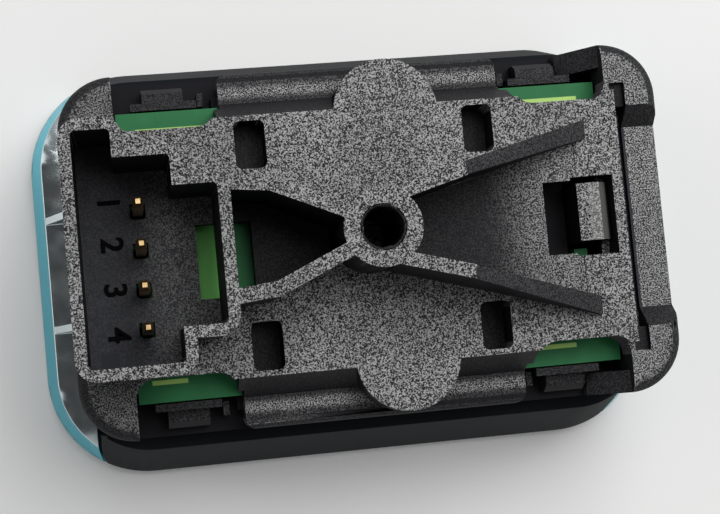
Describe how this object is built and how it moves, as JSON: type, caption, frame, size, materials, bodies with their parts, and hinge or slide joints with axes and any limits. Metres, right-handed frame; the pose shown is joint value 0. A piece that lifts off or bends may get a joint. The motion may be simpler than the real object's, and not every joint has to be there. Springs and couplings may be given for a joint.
{
  "type": "power window switch",
  "caption": "Passenger window switch with a rocking key, bright end trims, a green board and a grained black cover with a four-way socket, lying on its front face.",
  "frame": {"origin": "middle of the front outline, on the surface that the front face rests on", "axes": "+X along the switch away from the socket, +Y across it, +Z from the front face towards the connector side"},
  "size_m": [0.0442, 0.0288, 0.024],
  "materials": {
    "grained_black": "spark-textured black moulding",
    "housing_black": "smooth black moulding",
    "satin_black": "satin black",
    "bright_trim": "bright plated plastic",
    "board_green": "green solder mask",
    "gold_pin": "gold-plated",
    "silicone_grey": "silicone",
    "plunger_white": "natural moulding",
    "carbon_black": "carbon-filled silicone",
    "clear_guide": "clear moulding",
    "symbol_white": "diffusing white",
    "led_body": "cast resin",
    "chip_black": "moulded package",
    "ceramic_tan": "ceramic"
  },
  "bodies": {
    "housing": {"base_cover": "grained_black", "upper_housing": "housing_black", "left_trim": "bright_trim", "right_trim": "bright_trim", "circuit_board": "board_green", "terminal_pin_1": "gold_pin", "terminal_pin_2": "gold_pin", "terminal_pin_3": "gold_pin", "terminal_pin_4": "gold_pin", "dome_mat": "silicone_grey", "contact_pads": "gold_pin", "light_guide": "clear_guide", "led_key": "led_body", "led_locator": "led_body", "control_chip": "chip_black", "coding_resistors": "chip_black", "capacitor": "ceramic_tan"},
    "key": {"rocker_key": "satin_black", "symbol_lens": "symbol_white"},
    "open_plunger": {"plunger_open": "plunger_white", "contact_pills_open": "carbon_black"},
    "close_plunger": {"plunger_close": "plunger_white", "contact_pills_close": "carbon_black"}
  },
  "joints": [
    {"name": "key_rock", "type": "hinge", "parent": "housing", "child": "key", "pos_m": [0, 0, 0.0046], "axis": [0, 1, 0], "range_deg": [-6, 6], "stiffness_Nm_per_rad": 0.8},
    {"name": "open_plunger_slide", "type": "slide", "parent": "housing", "child": "open_plunger", "axis": [0, 0, 1], "range_m": [-0.0007, 0.0007], "deforming": ["dome_mat"]},
    {"name": "close_plunger_slide", "type": "slide", "parent": "housing", "child": "close_plunger", "axis": [0, 0, 1], "range_m": [-0.0007, 0.0007]}
  ],
  "couplings": [
    {"joint": "open_plunger_slide", "follows": "key_rock", "m_per_rad": 0.0065},
    {"joint": "close_plunger_slide", "follows": "key_rock", "m_per_rad": -0.0065}
  ]
}
